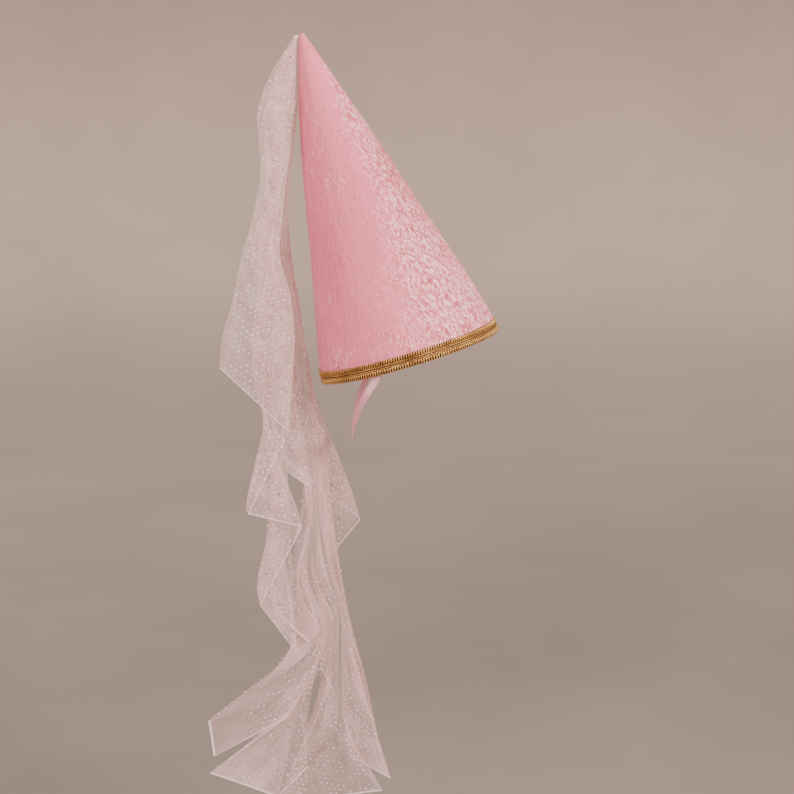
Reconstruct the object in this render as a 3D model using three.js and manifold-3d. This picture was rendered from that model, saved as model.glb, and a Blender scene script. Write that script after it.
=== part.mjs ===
// Hennin cone hat: a tall crushed-velvet cone with a gold gimp braid round its mouth, a satin
// elastic that goes round the nape, and a long tulle veil gathered at the tip.
// Millimetres, +Z up, +X to the front of the hat. The origin is the centre of the cone's mouth.

import * as THREE from 'three';
import { mergeVertices } from 'three/addons/utils/BufferGeometryUtils.js';
import Module from 'manifold-3d';

// The crown: its mouth, its height square to the mouth, and how it sits on the head.
const mouth_radius = 91;
const crown_rise = 334.5;
const crown_lean = 11;
const crown_tilt_deg = 16.7;
const velvet_wall = 2;
const crown_sides = 48;

// The braid round the mouth, and the running gap between pieces that touch.
const braid_height = 13.4;
const braid_depth = 1.8;
const seat_gap = 0.3;

// The nape elastic.
const strap_width = 7;
const strap_wall = 1;
const strap_seat_gap = 0.75;
const strap_tuck = 14;
const strap_drop = 83;
const strap_reach = 58;
const strap_place = -33;
const strap_steps = 44;

// The veil: its drop below the tip, the reach of its folds behind the tip, its cloth and the
// room that each fold has from the next one across the hat.
const veil_drop = 800;
const veil_reach = 100;
const veil_wall = 1;
const fold_squeeze = 1.15;
const fold_room = 4.6;
const fold_miter = 1.6;
const veil_rows = 23;
const steps_per_fold = 2;
const hem_step = 40;

// The gather: how far it holds the folds together, how deep they sit in it, and its half width
// where it starts behind the tip.
const gather_length = 50;
const gather_seat = 6;
const gather_tip_half = 4;
const gather_sides = 14;
const gather_rings = 14;

// The hollow ends below the tip where the crown's radius is this many walls, the elastic may sit
// this share of the mouth's radius from its middle, and the veil clears the braid to this share
// above its height.
const hollow_end_walls = 2.5;
const strap_place_most = 0.6;
const braid_berth = 1.2;

// The crown's sections. rise is a share of crown_rise, radius of mouth_radius, lean of crown_lean.
const crown_sections = [
  { rise: 0, radius: 1, lean: 0 },
  { rise: 0.042, radius: 0.994, lean: 0 },
  { rise: 0.09, radius: 0.958, lean: 0 },
  { rise: 0.18, radius: 0.876, lean: 0.06 },
  { rise: 0.3, radius: 0.758, lean: 0.2 },
  { rise: 0.42, radius: 0.643, lean: 0.4 },
  { rise: 0.54, radius: 0.53, lean: 0.58 },
  { rise: 0.66, radius: 0.412, lean: 0.74 },
  { rise: 0.78, radius: 0.285, lean: 0.9 },
  { rise: 0.9, radius: 0.148, lean: 1 },
  { rise: 0.965, radius: 0.072, lean: 1 },
  { rise: 0.992, radius: 0.034, lean: 1 },
];

// The braid's ribbed face. up is a share of braid_height, out of braid_depth.
const braid_ribs = [
  { up: 0, out: 0.6 },
  { up: 0.06, out: 0.95 },
  { up: 0.2, out: 1 },
  { up: 0.36, out: 0.85 },
  { up: 0.42, out: 0.45 },
  { up: 0.47, out: 0.95 },
  { up: 0.58, out: 0.95 },
  { up: 0.63, out: 0.45 },
  { up: 0.69, out: 0.85 },
  { up: 0.84, out: 1 },
  { up: 0.96, out: 0.9 },
  { up: 1, out: 0.6 },
];

// The elastic's free run from the mouth to the middle of the nape. down is a share of
// strap_drop, back of the way from the mouth to strap_reach, side of the half width at the mouth.
const strap_run = [
  { down: 0.25, back: 0.4, side: 0.985 },
  { down: 0.45, back: 0.67, side: 0.91 },
  { down: 0.65, back: 0.86, side: 0.76 },
  { down: 0.86, back: 0.96, side: 0.46 },
  { down: 1, back: 1, side: 0 },
];

// The veil's sheath of folds under the tip. drop is a share of veil_drop, left and right are
// its two outlines in shares of veil_reach from the tip, and they are negative behind the tip.
const veil_sheath = [
  { drop: 0, left: -0.05, right: -0.03 },
  { drop: 0.013, left: -0.11, right: -0.03 },
  { drop: 0.028, left: -0.19, right: -0.03 },
  { drop: 0.072, left: -0.36, right: -0.03 },
  { drop: 0.1, left: -0.41, right: -0.06 },
  { drop: 0.16, left: -0.37, right: -0.11 },
  { drop: 0.224, left: -0.45, right: -0.17 },
  { drop: 0.26, left: -0.54, right: -0.2 },
];

// How much of fold_room each fold takes at each drop: close at the tip and at the waist, wide
// at the hem.
const veil_spread = [
  { drop: 0, room: 0 },
  { drop: 0.028, room: 0.06 },
  { drop: 0.115, room: 0.2 },
  { drop: 0.26, room: 0.34 },
  { drop: 0.42, room: 0.43 },
  { drop: 0.63, room: 0.5 },
  { drop: 0.76, room: 0.46 },
  { drop: 0.86, room: 0.7 },
  { drop: 1, room: 1 },
];

// The inner folds run as one bundle. left and right are its sides, as in the sheath.
const veil_bundle = [
  { drop: 0.323, left: -0.19, right: -0.07 },
  { drop: 0.376, left: -0.11, right: -0.01 },
  { drop: 0.423, left: -0.11, right: 0.03 },
  { drop: 0.473, left: -0.09, right: 0.1 },
  { drop: 0.525, left: -0.03, right: 0.21 },
  { drop: 0.582, left: 0.09, right: 0.13 },
  { drop: 0.632, left: 0, right: 0.17 },
  { drop: 0.686, left: -0.08, right: 0.26 },
  { drop: 0.748, left: 0.14, right: 0.42 },
];
const bundle_in_sheath = { left: 0.5, right: 1 };

// The veil's folds in their order from the near side to the far side. across is the fold's
// place in the sheath and bends its places at the bundle's drops, and a fold without them runs
// in the bundle, where half is its place half-way from there to the hem. It ends at the hem at
// the drop ends and the place out. Places are shares of veil_reach from the tip, drops shares
// of veil_drop.
const veil_folds = [
  { name: 'near edge', across: 0, bends: [-0.66, -0.77], ends: 0.406, out: -0.79 },
  { name: 'first return', across: 1, bends: [-0.09, -0.06, -0.08, -0.11], ends: 0.485, out: -0.12 },
  {
    name: 'second fold', across: 0.45, ends: 0.589, out: -0.53,
    bends: [-0.43, -0.48, -0.46, -0.37, -0.46, -0.55],
  },
  {
    name: 'second return', across: 0.78, ends: 0.606, out: 0,
    bends: [-0.27, -0.34, -0.34, -0.32, -0.22, -0.05],
  },
  {
    name: 'third fold', across: 0.18, ends: 0.709, out: -0.43,
    bends: [-0.4, -0.4, -0.38, -0.33, -0.31, -0.32, -0.38, -0.46],
  },
  {
    name: 'third return', across: 0.6, ends: 0.772, out: -0.06,
    bends: [-0.22, -0.2, -0.19, -0.17, -0.19, -0.24, -0.2, -0.14, -0.08],
  },
  {
    name: 'gap left', across: 0.66, ends: 0.538, out: -0.16,
    bends: [-0.2, -0.18, -0.17, -0.16, -0.16],
  },
  { name: 'gap right', across: 0.72, bends: [-0.16, -0.11, -0.08, -0.02, 0.04], ends: 0.56, out: 0.09 },
  {
    name: 'waist fold', across: 0.8, ends: 0.721, out: -0.3,
    bends: [-0.12, -0.07, -0.04, 0.01, 0.06, 0.1, 0.03, -0.14],
  },
  { name: 'waist return', ends: 0.763, out: 0.04 },
  { name: 'upper fan tip', half: -0.22, ends: 0.867, out: -1 },
  { name: 'upper fan toe', half: -0.2, ends: 0.916, out: -0.94 },
  { name: 'fan notch', half: 0.09, ends: 0.865, out: -0.17 },
  { name: 'lower fan tip', half: -0.08, ends: 0.944, out: -1.01 },
  { name: 'lower fan heel', half: -0.07, ends: 0.978, out: -0.29 },
  { name: 'lower fan return', half: -0.01, ends: 0.942, out: 0 },
  { name: 'middle gap left', half: 0.1, ends: 0.862, out: -0.06 },
  { name: 'middle gap top', half: 0.23, ends: 0.807, out: 0.16 },
  { name: 'middle gap right', half: 0.27, ends: 0.836, out: 0.25 },
  { name: 'middle fall', half: 0.09, ends: 1, out: -0.33 },
  { name: 'front godet left', half: 0.33, ends: 1, out: -0.07 },
  { name: 'front godet right', half: 0.35, ends: 0.99, out: 0.78 },
  { name: 'godet notch', half: 0.37, ends: 0.941, out: 0.43 },
  { name: 'right fan tip', half: 0.62, ends: 0.978, out: 0.88 },
  { name: 'right notch', half: 0.45, ends: 0.826, out: 0.46 },
  { name: 'outer fan tip', half: 0.61, ends: 0.925, out: 0.75 },
  {
    name: 'far notch', across: 1, ends: 0.673, out: 0.23,
    bends: [-0.07, -0.01, 0.03, 0.1, 0.21, 0.13, 0.17],
  },
  {
    name: 'far fold', across: 1, ends: 0.619, out: 0.56,
    bends: [-0.06, -0.02, 0.04, 0.15, 0.305, 0.47],
  },
  { name: 'far edge', across: 0.25, bends: [-0.22, -0.26, -0.27, -0.24], ends: 0.54, out: -0.24 },
];

const velvet = new THREE.MeshStandardMaterial({ color: 0xdb9aa3, roughness: 0.75, metalness: 0 });
const gold_gimp = new THREE.MeshStandardMaterial({ color: 0xb5813f, roughness: 0.38, metalness: 0.75 });
const satin = new THREE.MeshStandardMaterial({ color: 0xdc97a6, roughness: 0.45, metalness: 0 });
const tulle = new THREE.MeshStandardMaterial({ color: 0xd8bab6, roughness: 0.8, metalness: 0 });

// A smooth line through known places, which never swings past them.
function smoothThrough(at, places) {
  const steps = at.slice(1).map((end, i) => end - at[i]);
  const rises = steps.map((step, i) => (places[i + 1] - places[i]) / step);
  const slopes = at.map((_, i) => {
    if (i === 0) return rises[0];
    if (i === rises.length) return rises[i - 1];
    if (rises[i - 1] * rises[i] <= 0) return 0;
    return (2 * rises[i - 1] * rises[i]) / (rises[i - 1] + rises[i]);
  });
  return (wanted) => {
    const end = at.length - 1;
    if (wanted <= at[0]) return places[0];
    if (wanted >= at[end]) return places[end];
    let i = 0;
    while (wanted > at[i + 1]) i += 1;
    const s = (wanted - at[i]) / steps[i];
    const turn = s * (1 - s) * steps[i] * ((1 - s) * slopes[i] - s * slopes[i + 1]);
    return places[i] + s * s * (3 - 2 * s) * (places[i + 1] - places[i]) + turn;
  };
}

function column(table, name) {
  return table.map((row) => row[name]);
}

// The crown's radius and lean at any height above its mouth, square to the mouth.
const section_rises = crown_sections.map((row) => row.rise * crown_rise);
const crownRadius = smoothThrough(section_rises, crown_sections.map((row) => row.radius * mouth_radius));
const crownLean = smoothThrough(section_rises, crown_sections.map((row) => -row.lean * crown_lean));

const tilt = THREE.MathUtils.degToRad(crown_tilt_deg);
const up_crown = new THREE.Vector3(-Math.sin(tilt), 0, Math.cos(tilt));
const along_mouth = new THREE.Vector3(Math.cos(tilt), 0, Math.sin(tilt));

// A point of the hat from its place along the mouth, across it and up the crown.
function onHat(along, across, up) {
  return new THREE.Vector3(0, across, 0).addScaledVector(along_mouth, along).addScaledVector(up_crown, up);
}

// A closed profile turned round the crown's axis, leaning and tilting with the crown.
function turned(profile) {
  const geometry = new THREE.LatheGeometry(profile, crown_sides);
  geometry.rotateX(Math.PI / 2);
  const points = geometry.getAttribute('position');
  for (let i = 0; i < points.count; i += 1) {
    const up = points.getZ(i);
    const placed = onHat(points.getX(i) + crownLean(up), points.getY(i), up);
    points.setXYZ(i, placed.x, placed.y, placed.z);
  }
  return geometry;
}

// The velvet cone: out along the mouth, up the outside to the tip, hollow inside.
function crownGeometry() {
  const place = (row, wall) => new THREE.Vector2(row.radius * mouth_radius - wall, row.rise * crown_rise);
  const hollow = crown_sections.filter((row) => row.radius * mouth_radius > hollow_end_walls * velvet_wall);
  const inner = hollow.map((row) => place(row, velvet_wall));
  const outer = crown_sections.map((row) => place(row, 0));
  const inner_tip = new THREE.Vector2(0, inner[inner.length - 1].y + velvet_wall);
  const outer_tip = new THREE.Vector2(0, crown_rise);
  return turned([inner_tip, ...inner.reverse(), ...outer, outer_tip]);
}

// The gimp braid: two ribbed rows with a cord between them, lying round the mouth.
function braidGeometry() {
  const face = braid_ribs.map((rib) => {
    const up = rib.up * braid_height;
    return new THREE.Vector2(crownRadius(up) + seat_gap + rib.out * braid_depth, up);
  });
  const back = [1, 0.5, 0].map((share) => {
    const up = share * braid_height;
    return new THREE.Vector2(crownRadius(up) + seat_gap, up);
  });
  return turned([...face, ...back, face[0]]);
}

// The nape elastic: it is sewn inside the mouth at both sides and is one loop round the nape.
function strapGeometry() {
  const inner_radius = mouth_radius - velvet_wall - strap_seat_gap - strap_wall / 2;
  const most = strap_place_most * inner_radius;
  const place = THREE.MathUtils.clamp(strap_place, -most, most);
  const half = Math.sqrt(inner_radius * inner_radius - place * place);
  const tucked = [strap_tuck, strap_tuck / 2, 0].map((up) => {
    const closer = (crownRadius(up) - crownRadius(0)) / inner_radius;
    return onHat(place * (1 + closer), -half * (1 + closer), up);
  });
  const mouth = tucked[2];
  const free = strap_run.map((row) => new THREE.Vector3(
    mouth.x + row.back * (-strap_reach - mouth.x),
    -half * row.side,
    mouth.z - row.down * (strap_drop + mouth.z),
  ));
  const near_side = [...tucked, ...free];
  const mirrored = (point) => new THREE.Vector3(point.x, -point.y, point.z);
  const far_side = near_side.slice(0, -1).reverse().map(mirrored);
  const path = new THREE.CatmullRomCurve3([...near_side, ...far_side], false, 'centripetal');
  const geometry = new THREE.BoxGeometry(1, 1, 1, strap_steps, 1, 1);
  const points = geometry.getAttribute('position');
  for (let i = 0; i < points.count; i += 1) {
    const along = points.getX(i) + 0.5;
    const centre = path.getPointAt(along);
    const tangent = path.getTangentAt(along);
    const outward = new THREE.Vector3(centre.x, centre.y, 0).normalize();
    outward.addScaledVector(tangent, -outward.dot(tangent)).normalize();
    const width = new THREE.Vector3().crossVectors(outward, tangent);
    centre.addScaledVector(width, points.getY(i) * strap_width);
    centre.addScaledVector(outward, points.getZ(i) * strap_wall);
    points.setXYZ(i, centre.x, centre.y, centre.z);
  }
  return geometry;
}

const tip = onHat(crownLean(crown_rise), 0, crown_rise);

// How far forward the veil may lie at each height, just behind the crown, the braid and the tip.
const back_rows = crown_sections.map((row) => {
  const up = row.rise * crown_rise;
  const braid = up <= braid_height * braid_berth ? seat_gap + braid_depth : 0;
  return onHat(-row.lean * crown_lean - row.radius * mouth_radius - braid, 0, up);
});
back_rows.push(tip);
const crownBack = smoothThrough(back_rows.map((row) => row.z), back_rows.map((row) => row.x));
const below_braid = back_rows[0].z - braid_height / 2;

function veilLimit(height) {
  return crownBack(height) + Math.max(0, below_braid - height) - seat_gap;
}

// Each fold's line from the gather to the hem, as its place behind the tip at any drop.
const bundle_drops = column(veil_bundle, 'drop');
const bundle_folds = veil_folds.filter((fold) => !fold.bends);

function between(row, share) {
  return row.left + (row.right - row.left) * share;
}

function foldLine(fold) {
  const share = bundle_folds.indexOf(fold) / (bundle_folds.length - 1);
  const across = fold.across ?? between(bundle_in_sheath, share);
  const bends = fold.bends ?? veil_bundle.map((row) => between(row, share));
  const knots = veil_sheath.map((row) => [row.drop, between(row, across)]);
  bends.forEach((bend, i) => knots.push([bundle_drops[i], bend]));
  const held = knots.filter(([drop]) => drop < fold.ends);
  const last_drop = held[held.length - 1][0];
  if (fold.half !== undefined) held.push([(last_drop + fold.ends) / 2, fold.half]);
  held.push([fold.ends, fold.out]);
  return smoothThrough(held.map((knot) => knot[0]), held.map((knot) => knot[1]));
}

const fold_lines = veil_folds.map(foldLine);
const last_fold = veil_folds.length - 1;
const spreadAt = smoothThrough(column(veil_spread, 'drop'), column(veil_spread, 'room'));

// How far apart neighbouring folds lie across the hat at one drop.
function foldPitch(drop) {
  return fold_squeeze * veil_wall + spreadAt(drop) * fold_room;
}

const gather_end = gather_length / veil_drop;
const folds_start = (gather_length - gather_seat) / veil_drop;

// The middle of the veil's cloth at one share of the way from the gather down every fold. across
// counts the folds from the near edge, and the cloth turns softly at each of them.
function veilPoint(across, down) {
  const first = Math.min(Math.floor(across), last_fold - 1);
  const share = across - first;
  const eased = share * share * (3 - 2 * share);
  const drops = [first, first + 1].map((i) => folds_start + (veil_folds[i].ends - folds_start) * down);
  const places = [first, first + 1].map((i, end) => fold_lines[i](drops[end]));
  const drop = drops[0] + (drops[1] - drops[0]) * eased;
  const height = tip.z - drop * veil_drop;
  const place = tip.x + (places[0] + (places[1] - places[0]) * eased) * veil_reach;
  const limit = veilLimit(height) - (fold_miter * veil_wall) / 2;
  return new THREE.Vector3(Math.min(place, limit), (across - last_fold / 2) * foldPitch(drop), height);
}

// Where the cloth's columns lie between the folds: more of them where the hem is steep.
const cloth_columns = [0];
for (let i = 0; i < last_fold; i += 1) {
  const rise = Math.abs(veil_folds[i + 1].ends - veil_folds[i].ends) * veil_drop;
  const steps = Math.max(steps_per_fold, Math.ceil(rise / hem_step));
  for (let step = 1; step <= steps; step += 1) cloth_columns.push(i + step / steps);
}

// The veil's cloth: a flat sheet of boxes laid on its folds, one wall thick.
function veilSheet() {
  const columns = cloth_columns.length - 1;
  const clothRow = (_, row) => cloth_columns.map((across) => veilPoint(across, row / veil_rows));
  const cloth = Array.from({ length: veil_rows + 1 }, clothRow);
  const faceNormal = (row, i) => {
    const right = new THREE.Vector3().subVectors(cloth[row][i + 1], cloth[row][i]);
    const upward = new THREE.Vector3().subVectors(cloth[row][i], cloth[row + 1][i]);
    return right.cross(upward).setZ(0).normalize();
  };
  const offsetAt = (row, i) => {
    const normals = [];
    for (const r of [row - 1, row]) {
      for (const c of [i - 1, i]) {
        if (r >= 0 && r < veil_rows && c >= 0 && c < columns) normals.push(faceNormal(r, c));
      }
    }
    const mean = normals.reduce((sum, normal) => sum.add(normal), new THREE.Vector3()).normalize();
    const least = Math.min(...normals.map((normal) => normal.dot(mean)));
    return mean.multiplyScalar(veil_wall / Math.max(least, 1 / fold_miter));
  };
  const geometry = new THREE.BoxGeometry(1, 1, 1, columns, veil_rows, 1);
  const points = geometry.getAttribute('position');
  for (let i = 0; i < points.count; i += 1) {
    const c = Math.round((points.getX(i) + 0.5) * columns);
    const row = Math.round((0.5 - points.getY(i)) * veil_rows);
    const placed = cloth[row][c].clone().addScaledVector(offsetAt(row, c), points.getZ(i));
    points.setXYZ(i, placed.x, placed.y, placed.z);
  }
  return geometry;
}

// The gather: the first of the veil, pulled so tight behind the tip that it is one mass.
function gatherGeometry() {
  const geometry = new THREE.CylinderGeometry(1, 1, 1, gather_sides, gather_rings);
  const points = geometry.getAttribute('position');
  const left = smoothThrough(column(veil_sheath, 'drop'), column(veil_sheath, 'left'));
  for (let i = 0; i < points.count; i += 1) {
    const down = 0.5 - points.getY(i);
    const height = tip.z - seat_gap - down * (gather_length - seat_gap);
    const drop = (tip.z - height) / veil_drop;
    const front = veilLimit(height);
    const back = Math.min(tip.x + left(drop) * veil_reach, front - veil_wall) - veil_wall;
    const end_half = (last_fold / 2) * foldPitch(gather_end) + veil_wall;
    const half = gather_tip_half + (end_half - gather_tip_half) * down;
    const x = (front + back) / 2 + (points.getX(i) * (front - back)) / 2;
    points.setXYZ(i, x, -points.getZ(i) * half, height);
  }
  return geometry;
}

const wasm = await Module();
wasm.setup();

function toSolid(geometry) {
  const bare = geometry.clone();
  bare.deleteAttribute('normal');
  bare.deleteAttribute('uv');
  const merged = mergeVertices(bare, 1e-4);
  const vertProperties = new Float32Array(merged.getAttribute('position').array);
  const triVerts = new Uint32Array(merged.getIndex().array);
  return new wasm.Manifold(new wasm.Mesh({ numProp: 3, vertProperties, triVerts }));
}

function toGeometry(solid) {
  const mesh = solid.getMesh();
  const geometry = new THREE.BufferGeometry();
  geometry.setAttribute('position', new THREE.BufferAttribute(new Float32Array(mesh.vertProperties), 3));
  geometry.setIndex(new THREE.BufferAttribute(new Uint32Array(mesh.triVerts), 1));
  geometry.computeVertexNormals();
  return geometry;
}

const veil_solid = toSolid(veilSheet()).add(toSolid(gatherGeometry()));

function piece(name, geometry, material) {
  const mesh = new THREE.Mesh(geometry, material);
  mesh.name = name;
  return mesh;
}

const hennin = new THREE.Group();
hennin.add(piece('crown', crownGeometry(), velvet));
hennin.add(piece('gold_braid', braidGeometry(), gold_gimp));
hennin.add(piece('nape_strap', strapGeometry(), satin));
hennin.add(piece('veil', toGeometry(veil_solid), tulle));

export default hennin;
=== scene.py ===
import math

import bpy
import numpy as np
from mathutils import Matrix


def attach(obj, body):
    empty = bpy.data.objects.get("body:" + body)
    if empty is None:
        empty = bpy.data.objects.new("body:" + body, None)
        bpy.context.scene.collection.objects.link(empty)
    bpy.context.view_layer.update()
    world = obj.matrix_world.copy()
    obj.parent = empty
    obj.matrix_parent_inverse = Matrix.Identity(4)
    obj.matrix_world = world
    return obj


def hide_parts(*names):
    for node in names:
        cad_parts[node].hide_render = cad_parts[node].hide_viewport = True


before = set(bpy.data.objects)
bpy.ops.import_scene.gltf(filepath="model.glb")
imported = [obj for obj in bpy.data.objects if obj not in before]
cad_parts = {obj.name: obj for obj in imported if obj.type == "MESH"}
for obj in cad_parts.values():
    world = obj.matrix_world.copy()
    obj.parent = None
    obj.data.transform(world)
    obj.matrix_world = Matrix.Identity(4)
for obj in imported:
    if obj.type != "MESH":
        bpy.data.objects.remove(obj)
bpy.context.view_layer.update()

# The view is from the wearer's right, 1.6 m off and a little above the mouth of the cone.
view_place = (-0.013, -1.6, 0.190)
view_dip = math.radians(8.25)
view_sensor = 36.0
view_lens = 72.54
camera_data = bpy.data.cameras.new("view")
camera_data.sensor_width = view_sensor
camera_data.lens = view_lens
camera = bpy.data.objects.new("view", camera_data)
camera.location = view_place
camera.rotation_euler = (math.pi / 2 - view_dip, 0, 0)
bpy.context.collection.objects.link(camera)
bpy.context.scene.camera = camera


# The room is a round floor that turns up into a plain wall of the same warm pale paint, with
# soft lamps inside it. The wall also glows with painted light, most where it lies far out and
# low. The hat is held above the floor.
def mesh_piece(name, points, faces, *finishes):
    """A smooth mesh in the scene, with its finishes."""
    mesh = bpy.data.meshes.new(name)
    mesh.from_pydata(np.asarray(points, float).tolist(), [], np.asarray(faces).tolist())
    mesh.polygons.foreach_set("use_smooth", np.ones(len(mesh.polygons), bool))
    for finish in finishes:
        mesh.materials.append(finish)
    mesh.update()
    piece = bpy.data.objects.new(name, mesh)
    bpy.context.collection.objects.link(piece)
    return piece


def grid_faces(rows, columns, ring=False):
    """The quads of a grid of points, row by row. A ring joins its last column to its first."""
    across = np.arange(columns if ring else columns - 1)
    row = np.arange(rows - 1)[:, None] * columns
    near, far = row + across, row + (across + 1) % columns
    return np.stack([near, far, far + columns, near + columns], -1).reshape(-1, 4)


def add_node(tree, kind, inputs=None, **settings):
    """A node with its settings, and its inputs given as values or as sockets to take them from."""
    node = tree.nodes.new(kind)
    for name, value in settings.items():
        setattr(node, name, value)
    for name, value in (inputs or {}).items():
        if isinstance(value, bpy.types.NodeSocket):
            tree.links.new(value, node.inputs[name])
        else:
            node.inputs[name].default_value = value
    return node


def finish_of(name, **sockets):
    """A material with one Principled shader, and that shader with the given constant sockets."""
    finish = bpy.data.materials.new(name)
    finish.use_nodes = True
    shader = finish.node_tree.nodes["Principled BSDF"]
    for socket, value in sockets.items():
        shader.inputs[socket.replace("_", " ")].default_value = value
    return finish, shader


def graded(tree, value, low, high, darkest=0.0, lightest=1.0, steps="LINEAR"):
    """The value stretched so that low gives the darkest and high the lightest."""
    return add_node(tree, "ShaderNodeMapRange", {
        "Value": value, "From Min": low, "From Max": high, "To Min": darkest, "To Max": lightest,
    }, interpolation_type=steps).outputs["Result"]


def both(tree, kind, one, other):
    """One value and another put together."""
    return add_node(tree, "ShaderNodeMath", {0: one, 1: other}, operation=kind).outputs["Value"]


def dyed(tree, share, one, other, way="MIX"):
    """A colour between two others, or one colour times the other."""
    return add_node(tree, "ShaderNodeMix", {
        "Factor": share, "A": one, "B": other,
    }, data_type="RGBA", blend_type=way).outputs["Result"]


def noise(tree, place, scale, detail=2.0, **inputs):
    """Soft uneven patches from 0 to 1."""
    return add_node(tree, "ShaderNodeTexNoise", {
        "Vector": place, "Scale": scale, "Detail": detail, **inputs,
    }).outputs["Fac"]


def object_place(tree):
    """Each place on the piece, in metres."""
    return add_node(tree, "ShaderNodeTexCoord").outputs["Object"]


floor_drop = 0.56
floor_radius = 3.0
cove_radius = 1.2
cove_steps = 12
wall_height = 3.6
room_columns = 96
painted_wall_glow_strength = 0.62
floor_paint_top = -0.55
wall_paint_bottom = -0.1
glow_near = 0.5
glow_far = 3.5
glow_bottom = 0.1
glow_top = 1.2
paint, paint_shader = finish_of("pale_paint", Roughness=0.9)
tree = paint.node_tree
place = object_place(tree)
height = add_node(tree, "ShaderNodeSeparateXYZ", {"Vector": place}).outputs["Z"]
rising = graded(tree, height, floor_paint_top, wall_paint_bottom, steps="SMOOTHSTEP")
floor_to_wall = dyed(tree, rising, (0.225, 0.170, 0.143, 1), (0.46, 0.345, 0.285, 1))
brushed = graded(tree, noise(tree, place, 2.2, 6.0), 0.3, 0.7, 0.9, 1.1)
paint_colour = dyed(tree, 1.0, floor_to_wall, brushed, way="MULTIPLY")
tree.links.new(paint_colour, paint_shader.inputs["Base Color"])
# Painted light: the wall glows, most where it lies far from the middle and low down.
along_floor = add_node(tree, "ShaderNodeVectorMath", {
    0: place, 1: (1, 1, 0),
}, operation="MULTIPLY").outputs["Vector"]
from_middle = add_node(tree, "ShaderNodeVectorMath", {0: along_floor}, operation="LENGTH").outputs["Value"]
lit_low = graded(tree, from_middle, glow_near, glow_far, steps="SMOOTHSTEP")
lit_high = graded(tree, height, glow_bottom, glow_top, 1.0, 0.25, steps="SMOOTHSTEP")
painted_wall_glow = dyed(tree, both(tree, "MULTIPLY", lit_low, lit_high), (0, 0, 0, 1), (0.45, 0.335, 0.275, 1))
tree.links.new(painted_wall_glow, paint_shader.inputs["Emission Color"])
paint_shader.inputs["Emission Strength"].default_value = painted_wall_glow_strength
room_line = [(0.001, 0), (floor_radius * 0.5, 0), (floor_radius, 0)]
for step in range(1, cove_steps + 1):
    turn = math.pi / 2 * step / cove_steps
    room_line.append((floor_radius + cove_radius * math.sin(turn), cove_radius * (1 - math.cos(turn))))
room_line.append((floor_radius + cove_radius, wall_height))
room_turns = np.linspace(0, 2 * math.pi, room_columns, endpoint=False)
room_points = [
    (out * math.cos(turn), out * math.sin(turn), up - floor_drop)
    for out, up in room_line for turn in room_turns
]
room = mesh_piece("room", room_points, grid_faces(len(room_line), room_columns, ring=True), paint)

lamp_aim = np.array([-0.05, 0.0, 0.0])
lamps = [
    # name, place, width, watts, colour
    ("key", (1.8, -1.4, 1.2), 1.0, 100, (1.0, 0.95, 0.91)),
    ("fill", (-1.6, -1.8, 0.6), 1.6, 52, (1.0, 0.96, 0.94)),
    ("back", (-0.7, 1.9, 1.4), 1.4, 26, (1.0, 0.97, 0.94)),
    ("top", (0.1, 0.2, 2.4), 1.8, 18, (1.0, 0.98, 0.96)),
]
for lamp_name, place, width, watts, colour in lamps:
    lamp_data = bpy.data.lights.new(lamp_name, "AREA")
    lamp_data.size = width
    lamp_data.energy = watts
    lamp_data.color = colour
    lamp = bpy.data.objects.new(lamp_name, lamp_data)
    lamp.location = place
    aim = lamp_aim - np.array(place)
    lean = math.atan2(math.hypot(aim[0], aim[1]), -aim[2])
    lamp.rotation_euler = (lean, 0, math.atan2(aim[0], -aim[1]) + math.pi)
    bpy.context.collection.objects.link(lamp)
world = bpy.data.worlds.new("studio")
world.use_nodes = True
around = world.node_tree.nodes["Background"]
around.inputs["Color"].default_value = (1.0, 0.95, 0.9, 1)
around.inputs["Strength"].default_value = 0.55
bpy.context.scene.world = world


# The crown is a cone of pink crushed velvet on a stiff cone, 2 mm thick in all. Its edge is
# turned in round the mouth, and it leans back from the middle of its height to the tip.
def smooth_through(at, places):
    """A smooth line through known places, which never swings past them."""
    at, places = np.asarray(at, float), np.asarray(places, float)
    steps = np.diff(at)
    rises = np.diff(places) / steps
    slopes = np.concatenate([rises[:1], np.zeros(len(at) - 2), rises[-1:]])
    for i in range(1, len(at) - 1):
        if rises[i - 1] * rises[i] > 0:
            slopes[i] = 2 * rises[i - 1] * rises[i] / (rises[i - 1] + rises[i])

    def line(wanted):
        wanted = np.clip(wanted, at[0], at[-1])
        i = np.clip(np.searchsorted(at, wanted) - 1, 0, len(steps) - 1)
        s = (wanted - at[i]) / steps[i]
        turn = s * (1 - s) * steps[i] * ((1 - s) * slopes[i] - s * slopes[i + 1])
        return places[i] + s * s * (3 - 2 * s) * (places[i + 1] - places[i]) + turn
    return line


def rumple(points, size, seed):
    """Soft unevenness from about -1 to 1 over points, its waves about one size long."""
    draw = np.random.default_rng(seed)
    total = np.zeros(len(points))
    for _ in range(9):
        way = draw.normal(size=3)
        way *= 2 * math.pi / size * draw.uniform(0.6, 1.5) / np.linalg.norm(way)
        total += np.sin(points @ way + draw.uniform(0, 2 * math.pi))
    return total / 5


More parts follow.
